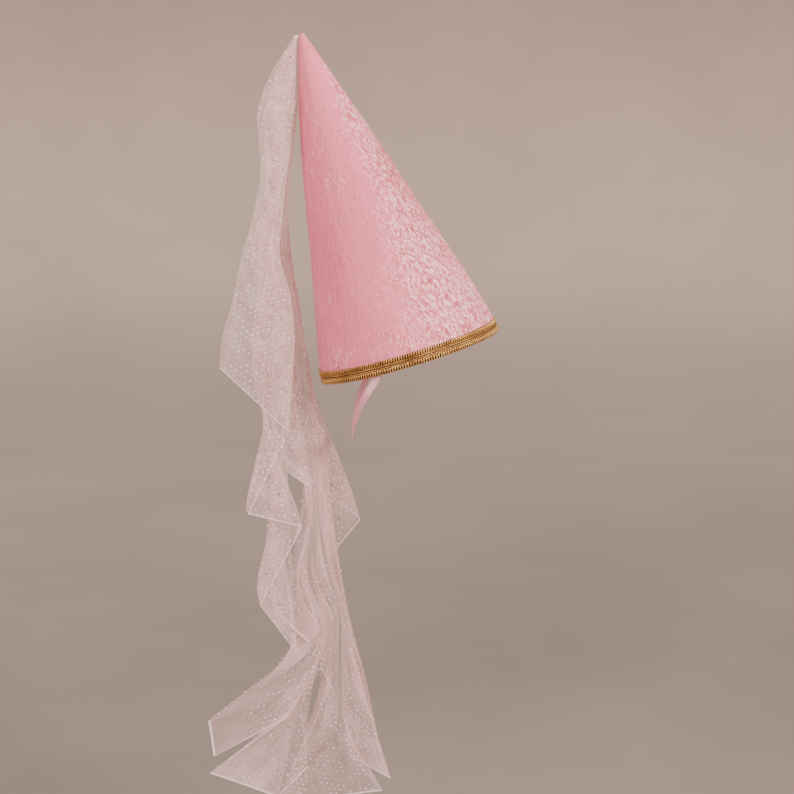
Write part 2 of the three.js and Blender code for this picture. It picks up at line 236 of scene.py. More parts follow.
mouth_radius = 0.091
crown_rise = 0.3345
crown_lean = 0.011
crown_tilt = math.radians(16.7)
velvet_wall = 0.002
crown_sections = np.array([
    # rise, radius, lean as shares of crown_rise, mouth_radius and crown_lean
    (0, 1, 0), (0.042, 0.994, 0), (0.09, 0.958, 0), (0.18, 0.876, 0.06),
    (0.3, 0.758, 0.2), (0.42, 0.643, 0.4), (0.54, 0.53, 0.58), (0.66, 0.412, 0.74),
    (0.78, 0.285, 0.9), (0.9, 0.148, 1), (0.965, 0.072, 1), (0.992, 0.034, 1),
])
section_rises = crown_sections[:, 0] * crown_rise
crown_radius = smooth_through(section_rises, crown_sections[:, 1] * mouth_radius)
crown_lean_at = smooth_through(section_rises, -crown_sections[:, 2] * crown_lean)
up_crown = np.array([-math.sin(crown_tilt), 0, math.cos(crown_tilt)])
along_mouth = np.array([math.cos(crown_tilt), 0, math.sin(crown_tilt)])
across_mouth = np.array([0.0, 1.0, 0.0])


def on_hat(along, across, up):
    """Points of the hat from their places along the mouth, across it and up the crown."""
    along, across, up = np.broadcast_arrays(along, across, up)
    return along[..., None] * along_mouth + across[..., None] * across_mouth + up[..., None] * up_crown


def round_crown(turn, radius, up):
    """Points round the crown's middle line, which leans back with the tip."""
    return on_hat(radius * np.cos(turn) + crown_lean_at(up), radius * np.sin(turn), up)


crown_columns = 300
outer_rings = 270
inner_rings = 30
edge_up = 0.0012
edge_round = 0.0010
tip_round = 0.0008
tip_cap = 0.0006
lining_up = 0.306
lining_cap = 0.002
lining_tip = 0.0005
nap_depth = 0.00035
nap_wave = 0.016
nap_ripple = 0.007
ripple_share = 0.6
tuft_depth = 0.00042
tuft_wave = 0.0046
calm_tip = 0.02
crush_from = 0.05
crush_over = 0.5
crown_turns = np.linspace(0, 2 * math.pi, crown_columns, endpoint=False)
tip_up = crown_rise - tip_cap
outer_ups = np.concatenate([np.linspace(edge_up, tip_up, outer_rings), [crown_rise]])
outer_radii = np.append(crown_radius(outer_ups[:-1]), tip_round)
edge_turns = np.linspace(0, math.pi, 8)[1:-1]
edge_ups = edge_up - edge_round * np.sin(edge_turns)
edge_radii = mouth_radius - velvet_wall / 2 - velvet_wall / 2 * np.cos(edge_turns)
inner_ups = np.linspace(edge_up, lining_up, inner_rings)
inner_radii = crown_radius(inner_ups) - velvet_wall
crown_ups = np.concatenate([[lining_up + lining_cap], inner_ups[::-1], edge_ups, outer_ups])
crown_radii = np.concatenate([[lining_tip], inner_radii[::-1], edge_radii, outer_radii])
crown_points = round_crown(crown_turns[None, :], crown_radii[:, None], crown_ups[:, None])
outward = np.cos(crown_turns)[:, None] * along_mouth + np.sin(crown_turns)[:, None] * across_mouth
flat_points = crown_points.reshape(-1, 3)
nap = rumple(flat_points, nap_wave, 3) + ripple_share * rumple(flat_points, nap_ripple, 4)
on_outside = np.arange(len(crown_ups)) >= inner_rings + 1 + len(edge_ups)
fade = np.where(on_outside, np.clip((tip_up - crown_ups) / calm_tip, 0, 1), 0)[:, None]
tufts = rumple(flat_points, tuft_wave, 5).reshape(len(crown_ups), -1)
crushed = np.clip((np.cos(crown_turns) - crush_from) / crush_over, 0, 1)[None, :]
relief = (nap.reshape(len(crown_ups), -1) * nap_depth + tufts * crushed * tuft_depth) * fade
crown_points = crown_points + relief[..., None] * outward
velvet, velvet_shader = finish_of(
    "crushed_velvet", Roughness=0.58, Specular_IOR_Level=0.22,
    Sheen_Weight=0.20, Sheen_Roughness=0.4, Sheen_Tint=(1.0, 0.60, 0.70, 1),
    Emission_Strength=0.24,
)
tree = velvet.node_tree
place = object_place(tree)


def raised(tree, shader, relief, strength, depth):
    """Relief in a finish, no deeper than depth."""
    bump = add_node(tree, "ShaderNodeBump", {"Height": relief, "Strength": strength, "Distance": depth})
    tree.links.new(bump.outputs["Normal"], shader.inputs["Normal"])


def brushed_pile(turn_degrees, stretch, scale, detail, twist):
    """Pile marks that lie along one way across the cone."""
    turned = add_node(tree, "ShaderNodeMapping", {
        "Vector": place, "Rotation": (0, math.radians(turn_degrees), 0),
    }).outputs["Vector"]
    drawn = add_node(tree, "ShaderNodeMapping", {"Vector": turned, "Scale": (1, 1, stretch)})
    return noise(tree, drawn.outputs["Vector"], scale, detail, Roughness=0.68, Distortion=twist)


streaks = brushed_pile(turn_degrees=4, stretch=0.06, scale=400.0, detail=4.0, twist=0.0)
long_marks = brushed_pile(turn_degrees=50, stretch=0.28, scale=480.0, detail=4.0, twist=0.9)
cross_marks = brushed_pile(turn_degrees=12, stretch=0.28, scale=450.0, detail=4.0, twist=0.9)
speckle = brushed_pile(turn_degrees=30, stretch=1.0, scale=620.0, detail=3.0, twist=0.4)
pile = brushed_pile(turn_degrees=20, stretch=0.5, scale=1700.0, detail=2.0, twist=0.3)
patches = brushed_pile(turn_degrees=34, stretch=0.8, scale=34.0, detail=4.0, twist=0.8)
wide_patches = brushed_pile(turn_degrees=34, stretch=0.7, scale=13.0, detail=3.0, twist=0.4)
marks = add_node(tree, "ShaderNodeMix", {
    "Factor": graded(tree, patches, 0.44, 0.56), "A": long_marks, "B": cross_marks,
}, data_type="FLOAT").outputs["Result"]

# How far forward and how far up the cone each place lies.
on_cone = add_node(tree, "ShaderNodeMapping", {"Vector": place, "Rotation": (0, crown_tilt, 0)})
cone_place = add_node(tree, "ShaderNodeSeparateXYZ", {"Vector": on_cone.outputs["Vector"]})
up_cone = cone_place.outputs["Z"]
half_width = graded(tree, up_cone, 0.0, crown_rise, mouth_radius, 0.004)
forward = both(tree, "DIVIDE", cone_place.outputs["X"], half_width)

# The pile is crushed down the front, round the mouth and in a few patches.
ragged = graded(tree, wide_patches, 0.35, 0.65, -0.18, 0.18)
front_crush = graded(tree, both(tree, "ADD", forward, ragged), 0.0, 0.62)
near_mouth = graded(tree, up_cone, 0.045, 0.012, 0.0, 0.75)
low_crush = both(tree, "MULTIPLY", near_mouth, graded(tree, patches, 0.45, 0.6))
patch_crush = graded(tree, patches, 0.54, 0.66, 0.0, 0.35)
crush = both(tree, "MAXIMUM", both(tree, "MAXIMUM", front_crush, low_crush), patch_crush)
# Painted shade along the upper front edge of the cone.
edge_shade_across = graded(tree, forward, 0.60, 0.95, 0.0, 0.6)
painted_edge_shade = both(tree, "MULTIPLY", edge_shade_across, graded(tree, up_cone, 0.07, 0.19))
# Painted highlights on the crushed pile marks.
painted_pile_highlight = both(tree, "MULTIPLY", graded(tree, marks, 0.51, 0.565), crush)
painted_pile_highlight = both(tree, "MULTIPLY", painted_pile_highlight, graded(tree, painted_edge_shade, 0.0, 0.6, 1.0, 0.4))
painted_pile_highlight = both(tree, "MULTIPLY", painted_pile_highlight, graded(tree, speckle, 0.36, 0.52, 0.3, 1.0))
painted_pile_highlight = both(tree, "MULTIPLY", painted_pile_highlight, graded(tree, pile, 0.35, 0.55, 0.7, 1.0))
# Dark crushed pile marks: partly the pile's own pattern, partly painted shade between the painted
# highlights.
dark_marks_and_shade = both(tree, "MULTIPLY", graded(tree, marks, 0.50, 0.43), both(tree, "MULTIPLY", crush, 0.85))

# The dye, from the even back of the cone to its crushed front, with painted shade along the
# upper front edge and painted highlights and painted shade among the crushed pile marks.
body = dyed(tree, graded(tree, streaks, 0.38, 0.62), (0.64, 0.090, 0.168, 1), (0.90, 0.158, 0.268, 1))
body = dyed(tree, graded(tree, wide_patches, 0.36, 0.64, 0.1, 0.75), body, (0.95, 0.190, 0.268, 1))
body = dyed(tree, graded(tree, speckle, 0.3, 0.7, 0.0, 0.35), body, (0.96, 0.33, 0.40, 1))
body = dyed(tree, graded(tree, pile, 0.42, 0.62, 0.0, 0.4), body, (1.0, 0.33, 0.43, 1))
body = dyed(tree, graded(tree, pile, 0.5, 0.3, 0.0, 0.5), body, (0.55, 0.09, 0.14, 1))
body = dyed(tree, both(tree, "MULTIPLY", front_crush, 0.15), body, (0.98, 0.36, 0.40, 1))
body = dyed(tree, painted_edge_shade, body, (0.60, 0.15, 0.165, 1))
body = dyed(tree, dark_marks_and_shade, body, (0.46, 0.065, 0.08, 1))
body = dyed(tree, painted_pile_highlight, body, (1.0, 0.74, 0.755, 1))
tree.links.new(body, velvet_shader.inputs["Base Color"])
# Painted light: the highlighted pile marks also glow.
painted_pile_glow = dyed(tree, painted_pile_highlight, (0, 0, 0, 1), (1.0, 0.60, 0.62, 1))
tree.links.new(painted_pile_glow, velvet_shader.inputs["Emission Color"])
pile_height = both(tree, "ADD", both(tree, "MULTIPLY", marks, crush), both(tree, "MULTIPLY", streaks, 0.35))
pile_height = both(tree, "ADD", pile_height, both(tree, "MULTIPLY", pile, 0.25))
raised(tree, velvet_shader, pile_height, 0.6, 0.0012)
crown_faces = grid_faces(len(crown_ups), crown_columns, ring=True)
crown = mesh_piece("crown_velvet", crown_points.reshape(-1, 3), crown_faces, velvet)
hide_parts("crown")
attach(crown, "root")


# The gold gimp is a woven braid glued round the mouth: an upper and a lower row of looped metal
# thread over a brown ground, darkened with painted shade, with two twisted cords along the
# groove between them.
def strand(path, away, thick, wide=None, sides=6):
    """A closed ring of thread: thick is its radius away from the ground, wide along the ground."""
    wide = thick if wide is None else wide
    ahead = np.roll(path, -1, 0) - np.roll(path, 1, 0)
    ahead /= np.linalg.norm(ahead, axis=1, keepdims=True)
    away = away - (away * ahead).sum(1, keepdims=True) * ahead
    away /= np.linalg.norm(away, axis=1, keepdims=True)
    aside = np.cross(ahead, away)
    turns = np.linspace(0, 2 * math.pi, sides, endpoint=False)
    points = (path[:, None] + thick * np.cos(turns)[None, :, None] * away[:, None]
              + wide * np.sin(turns)[None, :, None] * aside[:, None]).reshape(-1, 3)
    first = np.arange(sides)
    last = (len(path) - 1) * sides + first
    closing = np.stack([last, np.roll(last, -1), np.roll(first, -1), first], -1)
    return points, np.concatenate([grid_faces(len(path), sides, ring=True), closing])


def joined(parts):
    """Several (points, faces) as one."""
    starts = np.cumsum([0] + [len(points) for points, _ in parts[:-1]])
    faces = [faces + start for (_, faces), start in zip(parts, starts)]
    return np.concatenate([points for points, _ in parts]), np.concatenate(faces)


braid_height = 0.0134
thread = 0.00034
loop_uneven = 0.0003
loop_bulge = 0.00060
loop_square = 0.35
leg_apart = 0.10
foot_run = 0.05
ground_gap = 0.0003
ground_out = 0.0009
ground_inset = 0.0004
ground_columns = 144
ground_top = braid_height - ground_inset
ground_ups = np.array([ground_inset, ground_inset, ground_top, ground_top, ground_inset])
ground_outs = np.array([ground_gap, ground_out, ground_out, ground_gap, ground_gap])
ground_turns = np.linspace(0, 2 * math.pi, ground_columns, endpoint=False)
ground_radii = crown_radius(ground_ups) + ground_outs
ground_points = round_crown(ground_turns[None, :], ground_radii[:, None], ground_ups[:, None])
ground = (ground_points.reshape(-1, 3), grid_faces(len(ground_ups), ground_columns, ring=True))


def round_thread(turn, up, out):
    """A path round the mouth, and the way out from the velvet at each of its points."""
    away = np.cos(turn)[:, None] * along_mouth + np.sin(turn)[:, None] * across_mouth
    return round_crown(turn, crown_radius(np.clip(up, 0, 1)) + out, up), away


def looped_row(loops, low, high, lean, seed):
    """A row of thread loops: up the braid from low, round a small bend at high, and down again."""
    draw = np.random.default_rng(seed)
    steps = 16
    phase = np.arange(loops * steps) / steps
    wave = -np.cos(2 * math.pi * phase)
    up = (low + high) / 2 + (high - low) / 2 * np.sign(wave) * np.abs(wave) ** loop_square
    up = up + np.repeat(draw.uniform(-loop_uneven, loop_uneven, loops), steps)
    along_loop = phase % 1
    on_leg = np.clip(np.abs(np.sin(2 * math.pi * phase)) * 3, 0, 1)
    legs_apart = np.where(along_loop < 0.5, -leg_apart, leg_apart) * on_leg
    settled = np.floor(phase) + 0.5 + (along_loop - 0.5) * foot_run + legs_apart
    turn = 2 * math.pi * (settled + lean * (up - low) / (high - low)) / loops
    middle = 1 - ((up - (low + high) / 2) / ((high - low) / 2)) ** 2
    out = ground_out + thread * 0.7 + loop_bulge * np.clip(middle, 0, 1)
    path, away = round_thread(turn, up, out)
    return strand(path, away, thread, thread * 0.95, sides=5)


def twisted_cord(up, strands, radius, twists, out):
    """A cord of strands wound round each other, along the braid at one height."""
    parts = []
    turn = np.linspace(0, 2 * math.pi, twists * 8, endpoint=False)
    for k in range(strands):
        wind = twists * turn + 2 * math.pi * k / strands
        path, away = round_thread(turn, up + radius * np.sin(wind), out + radius * np.cos(wind))
        parts.append(strand(path, away, radius * 0.95, sides=5))
    return joined(parts)


gold, gold_shader = finish_of("gold_thread", Metallic=0.55, Roughness=0.34)
tree = gold.node_tree
place = object_place(tree)
tarnish = noise(tree, place, 60.0, 4.0)
glints = noise(tree, place, 1400.0)
gold_tone = dyed(tree, graded(tree, tarnish, 0.35, 0.65), (0.42, 0.185, 0.042, 1), (0.78, 0.41, 0.125, 1))
gold_tone = dyed(tree, graded(tree, glints, 0.55, 0.75), gold_tone, (0.98, 0.62, 0.24, 1))
tree.links.new(gold_tone, gold_shader.inputs["Base Color"])
raised(tree, gold_shader, glints, 0.5, 0.0002)

# The fine unevenness of yarn and foil, shared by the brown ground, the binding and the glitter.
uneven_tone = bpy.data.node_groups.new("uneven_tone", "ShaderNodeTree")
for name, way, kind in (
    ("Fineness", "INPUT", "NodeSocketFloat"),
    ("Deep", "INPUT", "NodeSocketColor"),
    ("Pale", "INPUT", "NodeSocketColor"),
    ("Tone", "OUTPUT", "NodeSocketColor"),
    ("Relief", "OUTPUT", "NodeSocketFloat"),
):
    uneven_tone.interface.new_socket(name, in_out=way, socket_type=kind)
given = add_node(uneven_tone, "NodeGroupInput").outputs
yarn = noise(uneven_tone, object_place(uneven_tone), given["Fineness"])
add_node(uneven_tone, "NodeGroupOutput", {
    "Tone": dyed(uneven_tone, yarn, given["Deep"], given["Pale"]), "Relief": yarn,
})


def uneven(finish, shader, fineness, deep, pale, relief=0.0):
    """The uneven tone in one finish, with a little relief where relief is given."""
    tone = add_node(finish.node_tree, "ShaderNodeGroup", node_tree=uneven_tone)
    tone.inputs["Fineness"].default_value = fineness
    tone.inputs["Deep"].default_value = (*deep, 1)
    tone.inputs["Pale"].default_value = (*pale, 1)
    finish.node_tree.links.new(tone.outputs["Tone"], shader.inputs["Base Color"])
    if relief:
        raised(finish.node_tree, shader, tone.outputs["Relief"], relief, 0.0002)


# The ground is a near-black brown: partly its own brown, partly painted shade in the gaps between the loops.
brown_and_shade, brown_and_shade_shader = finish_of("brown_ground_and_shade", Roughness=0.8, Specular_IOR_Level=0.12)
uneven(brown_and_shade, brown_and_shade_shader, 900.0, (0.030, 0.012, 0.004), (0.085, 0.038, 0.012), 0.5)
rows = joined([
    looped_row(loops=232, low=0.0089, high=0.0131, lean=0.28, seed=11),
    looped_row(loops=224, low=0.0047, high=0.0001, lean=-0.22, seed=12),
])
cords = joined([
    twisted_cord(up=0.0059, strands=2, radius=0.00029, twists=96, out=0.0013),
    twisted_cord(up=0.0078, strands=2, radius=0.00029, twists=90, out=0.0013),
])
braid_ground = mesh_piece("braid_ground", *ground, brown_and_shade)
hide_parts("gold_braid")
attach(braid_ground, "root")
braid_loops = mesh_piece("braid_loops", *rows, gold)
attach(braid_loops, "root")
braid_cords = mesh_piece("braid_cords", *cords, gold)
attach(braid_cords, "root")


# The nape elastic is a flat band of pink satin elastic, woven with five fine ribs. It is sewn
# inside the mouth at both sides and hangs in one loop for the wearer's nape.
strap_width = 0.007
strap_wall = 0.001
strap_clear = 0.00075
strap_inner_radius = mouth_radius - velvet_wall - strap_clear - strap_wall / 2
strap_place = -0.033
strap_tuck = 0.014
strap_drop = 0.083
strap_reach = 0.058
strap_steps = 420
strap_half = math.sqrt(strap_inner_radius ** 2 - strap_place ** 2)
strap_run = [
    # down, back, side
    (0.25, 0.4, 0.985), (0.45, 0.67, 0.91), (0.65, 0.86, 0.76), (0.86, 0.96, 0.46), (1, 1, 0),
]


def centripetal(points, steps):
    """A smooth line through given points, in even steps."""
    points = np.asarray(points)
    ends = [2 * points[0] - points[1], 2 * points[-1] - points[-2]]
    held = np.concatenate([[ends[0]], points, [ends[1]]])
    knots = np.concatenate([[0], np.cumsum(np.linalg.norm(np.diff(held, axis=0), axis=1) ** 0.5)])

    def blend(one, other, start, end, t):
        return one + (other - one) * (t - start) / (end - start)

    line = []
    for i in range(1, len(held) - 2):
        for t in np.linspace(knots[i], knots[i + 1], 40, endpoint=i == len(held) - 3):
            near = [blend(held[k], held[k + 1], knots[k], knots[k + 1], t) for k in (i - 1, i, i + 1)]
            wide = [blend(near[k], near[k + 1], knots[i + k - 1], knots[i + k + 1], t) for k in (0, 1)]
            line.append(blend(wide[0], wide[1], knots[i], knots[i + 1], t))
    line = np.array(line)
    run = np.concatenate([[0], np.cumsum(np.linalg.norm(np.diff(line, axis=0), axis=1))])
    even = np.linspace(0, run[-1], steps)
    return np.stack([np.interp(even, run, line[:, k]) for k in range(3)], -1)


tucked = []
for up in (strap_tuck, strap_tuck / 2, 0):
    closer = 1 + (crown_radius(up) - mouth_radius) / strap_inner_radius
    tucked.append(on_hat(strap_place * closer, -strap_half * closer, up))
strap_mouth = tucked[-1]
near_side = tucked + [
    np.array([
        strap_mouth[0] + back * (-strap_reach - strap_mouth[0]),
        -strap_half * side,
        strap_mouth[2] - down * (strap_drop + strap_mouth[2]),
    ])
    for down, back, side in strap_run
]
far_side = [point * (1, -1, 1) for point in near_side[-2::-1]]
strap_line = centripetal(near_side + far_side, strap_steps)
ahead = np.gradient(strap_line, axis=0)
ahead /= np.linalg.norm(ahead, axis=1, keepdims=True)
away = strap_line * (1, 1, 0)
away -= (away * ahead).sum(1, keepdims=True) * ahead
away /= np.linalg.norm(away, axis=1, keepdims=True)
aside = np.cross(away, ahead)
rib_steps = 40
rib_count = 5
rib_depth = 0.22
rib_turns = np.linspace(0, 2 * math.pi, rib_steps, endpoint=False)
flat_side = np.sign(np.cos(rib_turns)) * np.abs(np.cos(rib_turns)) ** 0.75
flat_face = np.sign(np.sin(rib_turns)) * np.abs(np.sin(rib_turns)) ** 0.3
ribbed = (1 + rib_depth * np.cos(flat_side * math.pi * rib_count)) / (1 + rib_depth)
strap_points = (strap_line[:, None] + flat_side[None, :, None] * (strap_width / 2) * aside[:, None]
                + (flat_face * ribbed)[None, :, None] * (strap_wall / 2) * away[:, None])
strap_faces = grid_faces(len(strap_line), rib_steps, ring=True)
satin, satin_shader = finish_of(
    "satin_elastic", Roughness=0.38, Specular_IOR_Level=0.5, Sheen_Weight=0.25, Sheen_Roughness=0.4,
)
tree = satin.node_tree
picks = add_node(tree, "ShaderNodeTexWave", {
    "Vector": object_place(tree), "Scale": 190.0, "Distortion": 1.5, "Detail": 2.0,
}, bands_direction="Z").outputs["Fac"]
satin_tone = dyed(tree, picks, (0.66, 0.24, 0.31, 1), (0.84, 0.37, 0.43, 1))
tree.links.new(satin_tone, satin_shader.inputs["Base Color"])
raised(tree, satin_shader, picks, 0.25, 0.0002)
strap = mesh_piece("nape_elastic", strap_points.reshape(-1, 3), strap_faces, satin)
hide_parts("nape_strap")
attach(strap, "root")


# The veil is one piece of pale pink tulle, cut with a pointed hem and gathered behind the tip.
# Each fold hangs down its own line from the gather to its own place on the hem.
veil_drop = 0.800
veil_reach = 0.100
veil_sheath = np.array([
    # drop, left, right
    (0, -0.05, -0.03), (0.013, -0.11, -0.03), (0.028, -0.19, -0.03), (0.072, -0.36, -0.03),
    (0.1, -0.41, -0.06), (0.16, -0.37, -0.11), (0.224, -0.45, -0.17), (0.26, -0.54, -0.2),
])
veil_spread = np.array([
    # drop, room between two folds in metres across the hat
    (0, 0.00025), (0.028, 0.0006), (0.06, 0.0011), (0.115, 0.0020), (0.26, 0.0027),
    (0.42, 0.0031), (0.63, 0.0034), (0.76, 0.0033), (0.86, 0.0044), (1, 0.0057),
])
veil_bundle = np.array([
    # drop, left, right
    (0.323, -0.19, -0.07), (0.376, -0.11, -0.01), (0.423, -0.11, 0.03),
    (0.473, -0.09, 0.1), (0.525, -0.03, 0.21), (0.582, 0.09, 0.13),
    (0.632, 0, 0.17), (0.686, -0.08, 0.26), (0.748, 0.14, 0.42),
])
bundle_across = (0.5, 1.0)
veil_folds = [
    # name, place across the sheath, places at the bundle's drops, place half-way to the hem,
    # hem drop, hem place
    ("near edge", 0, (-0.66, -0.77), None, 0.406, -0.79),
    ("first return", 1, (-0.09, -0.06, -0.08, -0.11), None, 0.485, -0.12),
    ("second fold", 0.45, (-0.43, -0.48, -0.46, -0.37, -0.46, -0.55), None, 0.589, -0.53),
    ("second return", 0.78, (-0.27, -0.34, -0.34, -0.32, -0.22, -0.05), None, 0.606, 0),
    ("third fold", 0.18, (-0.4, -0.4, -0.38, -0.33, -0.31, -0.32, -0.38, -0.46), None, 0.709, -0.43),
    ("third return", 0.6, (-0.22, -0.2, -0.19, -0.17, -0.19, -0.24, -0.2, -0.14, -0.08), None, 0.772, -0.06),
    ("gap left", 0.66, (-0.2, -0.18, -0.17, -0.16, -0.16), None, 0.538, -0.16),
    ("gap right", 0.72, (-0.16, -0.11, -0.08, -0.02, 0.04), None, 0.56, 0.09),
    ("waist fold", 0.8, (-0.12, -0.07, -0.04, 0.01, 0.06, 0.1, 0.03, -0.14), None, 0.721, -0.3),
    ("waist return", None, (), None, 0.763, 0.04),
    ("upper fan tip", None, (), -0.22, 0.867, -1),
    ("upper fan toe", None, (), -0.2, 0.916, -0.94),
    ("fan notch", None, (), 0.09, 0.865, -0.17),
    ("lower fan tip", None, (), -0.08, 0.944, -1.01),
    ("lower fan heel", None, (), -0.07, 0.978, -0.29),
    ("lower fan return", None, (), -0.01, 0.942, 0),
    ("middle gap left", None, (), 0.1, 0.862, -0.06),
    ("middle gap top", None, (), 0.23, 0.807, 0.16),
    ("middle gap right", None, (), 0.27, 0.836, 0.25),
    ("middle fall", None, (), 0.09, 1, -0.33),
    ("front godet left", None, (), 0.33, 1, -0.07),
    ("front godet right", None, (), 0.35, 0.99, 0.78),
    ("godet notch", None, (), 0.37, 0.941, 0.43),
    ("right fan tip", None, (), 0.62, 0.978, 0.88),
    ("right notch", None, (), 0.45, 0.826, 0.46),
    ("outer fan tip", None, (), 0.61, 0.925, 0.75),
    ("far notch", 1, (-0.07, -0.01, 0.03, 0.1, 0.21, 0.13, 0.17), None, 0.673, 0.23),
    ("far fold", 1, (-0.06, -0.02, 0.04, 0.15, 0.305, 0.47), None, 0.619, 0.56),
    ("far edge", 0.25, (-0.22, -0.26, -0.27, -0.24), None, 0.54, -0.24),
]
braid_out = 0.0021
braid_top = 0.05
crown_tip = on_hat(-crown_lean, 0, crown_rise)
back_rows = []
for rise, radius, lean in crown_sections:
    proud = braid_out if rise < braid_top else 0
    back_rows.append(on_hat(-lean * crown_lean - radius * mouth_radius - proud, 0, rise * crown_rise))
back_rows.append(crown_tip)
crown_back = smooth_through([row[2] for row in back_rows], [row[0] for row in back_rows])
below_braid = back_rows[0][2] - braid_height / 2


def fold_line(fold):
    """A fold's place behind the tip, in shares of veil_reach, at any drop."""
    _, across, bends, half, ends, out = fold
    share = in_bundle.index(fold) / (len(in_bundle) - 1) if fold in in_bundle else 0
    if across is None:
        across = bundle_across[0] + (bundle_across[1] - bundle_across[0]) * share
    knots = [(drop, left + (right - left) * across) for drop, left, right in veil_sheath]
    bends = bends or [left + (right - left) * share for _, left, right in veil_bundle]
    knots += list(zip(veil_bundle[:, 0], bends))
    held = [knot for knot in knots if knot[0] < ends]
    if half is not None:
        held.append(((held[-1][0] + ends) / 2, half))
    held.append((ends, out))
    return smooth_through([drop for drop, _ in held], [place for _, place in held])


in_bundle = [fold for fold in veil_folds if not fold[2]]
fold_lines = [fold_line(fold) for fold in veil_folds]
fold_ends = np.array([fold[4] for fold in veil_folds])
room_at = smooth_through(veil_spread[:, 0], veil_spread[:, 1])
last_fold = len(veil_folds) - 1
folds_start = 0.0015
cloth_clear = 0.0011


def behind_hat(height):
    """How far forward the veil may lie: up to the cone's back, and more freely below the braid."""
    return crown_back(height) + np.maximum(0, below_braid - height)


def veil_cloth(across, downs):
    """The cloth's points, one row for each share of the way down every fold."""
    first = np.minimum(across.astype(int), last_fold - 1)
    share = across - first
    eased = share * share * (3 - 2 * share)
    drops = folds_start + (fold_ends[None, :] - folds_start) * downs[:, None]
    places = np.stack([line(drops[:, i]) for i, line in enumerate(fold_lines)], 1)
    drop = drops[:, first] + (drops[:, first + 1] - drops[:, first]) * eased
    place = places[:, first] + (places[:, first + 1] - places[:, first]) * eased
    height = crown_tip[2] - drop * veil_drop
    x = np.minimum(crown_tip[0] + place * veil_reach, behind_hat(height) - cloth_clear)
    y = (across - last_fold / 2)[None, :] * room_at(drop)
    return np.stack([x, y, height], -1)


panel_shares = np.array([
    0, 0.04, 0.09, 0.15, 0.22, 0.30, 0.38, 0.46, 0.54, 0.62, 0.70, 0.78, 0.85, 0.91, 0.96,
])
veil_rows = 220
even_rows_end = 0.9945
hem_shares = [0.9970, 0.9984, 1]
cloth_length = 6
pleat_size = 0.55
pleat_depth = 0.30
wave_size = 1.4
wave_depth = 0.18
hang_off = 0.0004
hang_sway = 0.0008
veil_across = np.append((np.arange(last_fold)[:, None] + panel_shares).reshape(-1), last_fold)
veil_downs = np.append(np.linspace(0, even_rows_end, veil_rows - len(hem_shares)), hem_shares)
veil_points = veil_cloth(veil_across, veil_downs)
veil_drops = (crown_tip[2] - veil_points[..., 2]) / veil_drop
cloth_places = np.broadcast_arrays(veil_across[None, :], veil_downs[:, None] * cloth_length, 0.0)
on_cloth = np.stack(cloth_places, -1).reshape(-1, 3)
pleats = rumple(on_cloth, pleat_size, 21).reshape(veil_rows, -1)
soft_waves = rumple(on_cloth, wave_size, 22).reshape(veil_rows, -1)
veil_points[..., 1] += room_at(veil_drops) * (pleat_depth * pleats + wave_depth * soft_waves)
hang_free = np.clip(veil_drops / 0.1, 0, 1)
veil_points[..., 0] -= hang_off + hang_sway * hang_free * (1 + soft_waves)
tulle, tulle_shader = finish_of(
    "glitter_tulle", Roughness=0.5, Specular_IOR_Level=0.35, Sheen_Weight=0.35, Sheen_Roughness=0.35,
    Emission_Strength=0.16,
)
tree = tulle.node_tree
cloth_place = add_node(tree, "ShaderNodeAttribute", attribute_name="cloth_place").outputs["Vector"]
crease = add_node(tree, "ShaderNodeAttribute", attribute_name="crease").outputs["Fac"]
doubled = add_node(tree, "ShaderNodeAttribute", attribute_name="doubled").outputs["Fac"]
drawn_up_and_shade = noise(tree, cloth_place, 2.6, 4.0, Roughness=0.6)
# The tone along the gathers is partly the net's own and, at its darker end, partly painted shade.
tulle_tone_with_painted_light = dyed(tree, graded(tree, drawn_up_and_shade, 0.32, 0.68), (0.70, 0.385, 0.375, 1), (1.0, 0.66, 0.635, 1))
# Painted highlight along the folds and the hem.
tulle_tone_with_painted_light = dyed(tree, crease, tulle_tone_with_painted_light, (1.0, 0.77, 0.74, 1))
tree.links.new(tulle_tone_with_painted_light, tulle_shader.inputs["Base Color"])
# Painted light: the folds and the hem also glow.
painted_fold_glow = dyed(tree, crease, (0, 0, 0, 1), (1.0, 0.80, 0.77, 1))
tree.links.new(painted_fold_glow, tulle_shader.inputs["Emission Color"])
layers = graded(tree, doubled, 0.0, 1.0, 0.55, 1.45)
net = both(tree, "MULTIPLY", graded(tree, drawn_up_and_shade, 0.3, 0.7, 0.26, 0.44), layers)
net_alpha = both(tree, "MAXIMUM", net, both(tree, "MULTIPLY", crease, 0.72))
tree.links.new(net_alpha, tulle_shader.inputs["Alpha"])
veil = mesh_piece("veil_tulle", veil_points.reshape(-1, 3), grid_faces(veil_rows, len(veil_across)), tulle)


def mark_cloth(name, kind, field, values):
    """A value for each point of the veil, which its material reads."""
    layer = veil.data.attributes.new(name, kind, "POINT")
    layer.data.foreach_set(field, values.astype(np.float32).reshape(-1))


fold_width = 0.07
fold_strength = 0.75
hem_fade = 0.0014
from_fold = np.abs(veil_across - np.round(veil_across))
turned_edge = np.clip(1 - from_fold / fold_width, 0, 1)
at_hem = np.clip((veil_downs - hem_shares[0]) / hem_fade, 0, 1)
mark_cloth("crease", "FLOAT", "value", np.maximum(turned_edge[None, :] * fold_strength, at_hem[:, None]))

